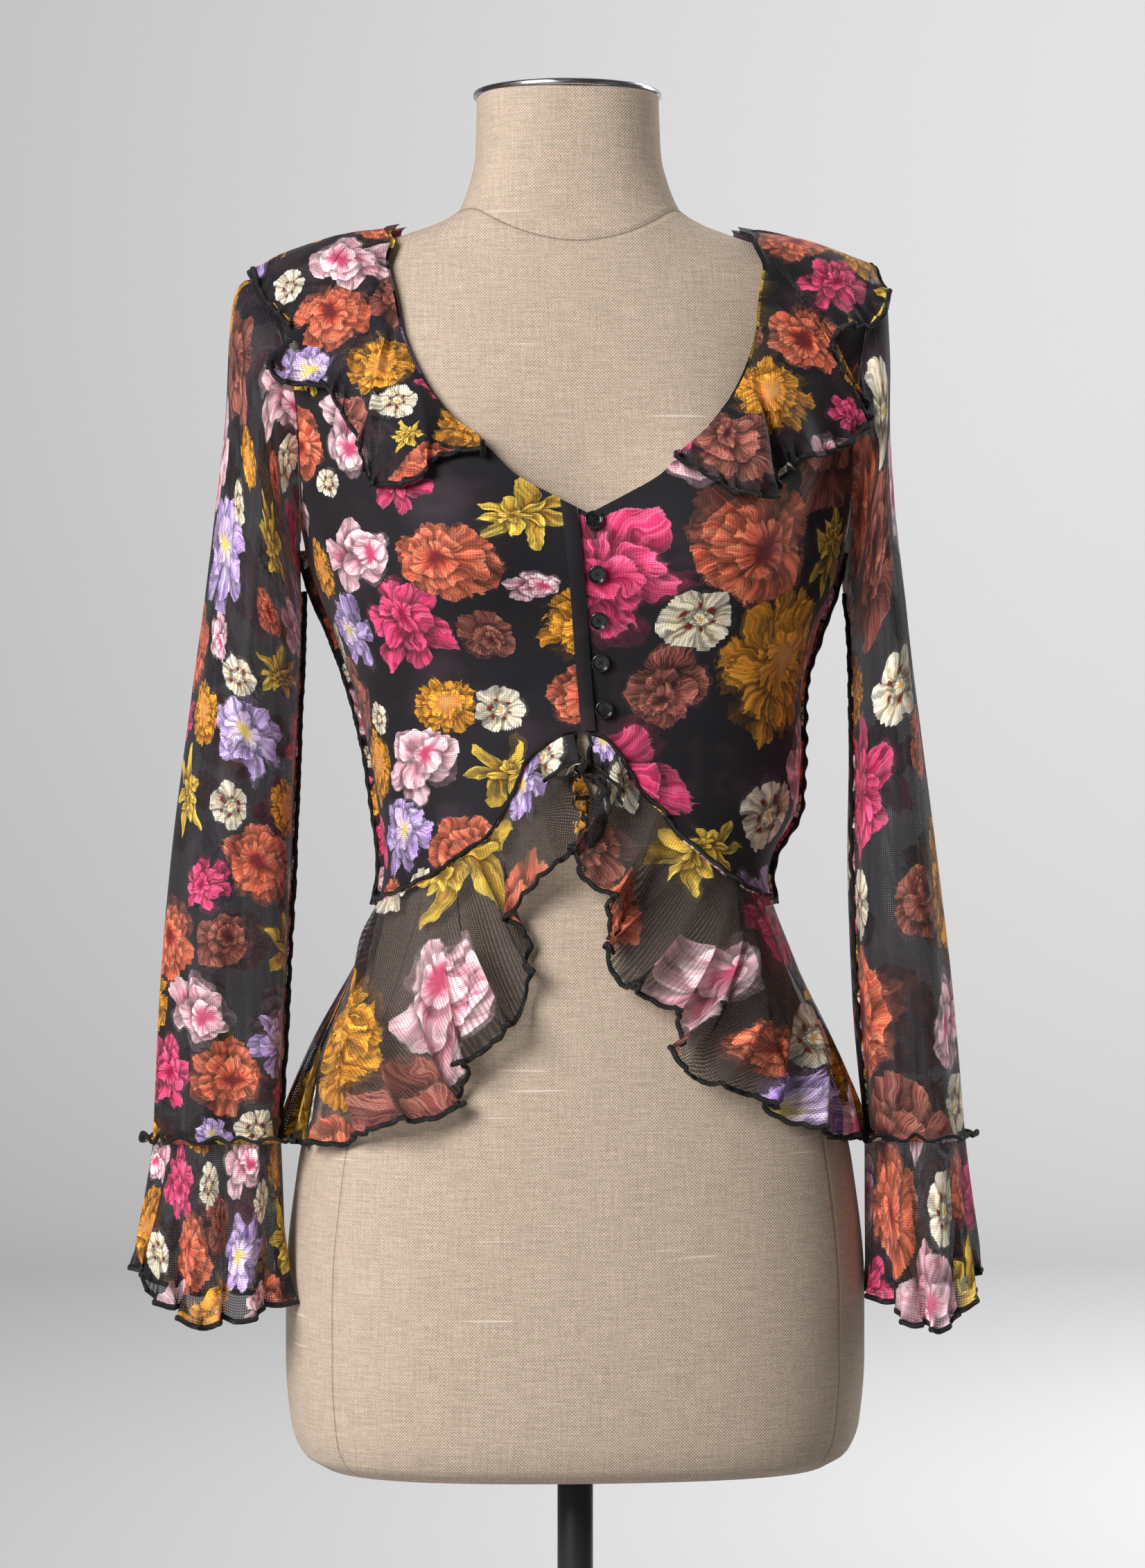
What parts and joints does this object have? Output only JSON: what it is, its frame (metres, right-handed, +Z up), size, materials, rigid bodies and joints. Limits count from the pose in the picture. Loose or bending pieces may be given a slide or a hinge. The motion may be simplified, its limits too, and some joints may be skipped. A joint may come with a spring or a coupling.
{
  "type": "blouse on a dress form",
  "caption": "Sheer floral long-sleeved blouse with flounced neckline, flounced cuffs and cut-away peplum, worn by a limbless dress form on a pole and round foot.",
  "frame": {"origin": "centre of the underside of the stand's foot, on the floor under the pole", "axes": "+Z up, -Y the front of the blouse, +X the wearer's left"},
  "size_m": [0.4944, 0.36, 1.2747],
  "materials": {
    "printed_mesh": "sheer black stretch mesh with a multicoloured flower print and black overlocked edges",
    "linen": "natural woven linen, matt",
    "chrome_cap": "polished metal disc",
    "black_steel": "satin black",
    "black_button": "glossy"
  },
  "bodies": {
    "root": {"bodice_front_right": "printed_mesh", "bodice_front_left": "printed_mesh", "bodice_back": "printed_mesh", "front_band": "printed_mesh", "sleeve_right": "printed_mesh", "sleeve_left": "printed_mesh", "cuff_right": "printed_mesh", "cuff_left": "printed_mesh", "neck_flounce_right": "printed_mesh", "neck_flounce_left": "printed_mesh", "peplum_front_right": "printed_mesh", "peplum_front_left": "printed_mesh", "peplum_back": "printed_mesh", "form_torso": "linen", "form_neck_cap": "chrome_cap", "stand_pole": "black_steel", "stand_foot": "black_steel", "button_1": "black_button", "button_2": "black_button", "button_3": "black_button", "button_4": "black_button", "button_5": "black_button"}
  },
  "joints": []
}
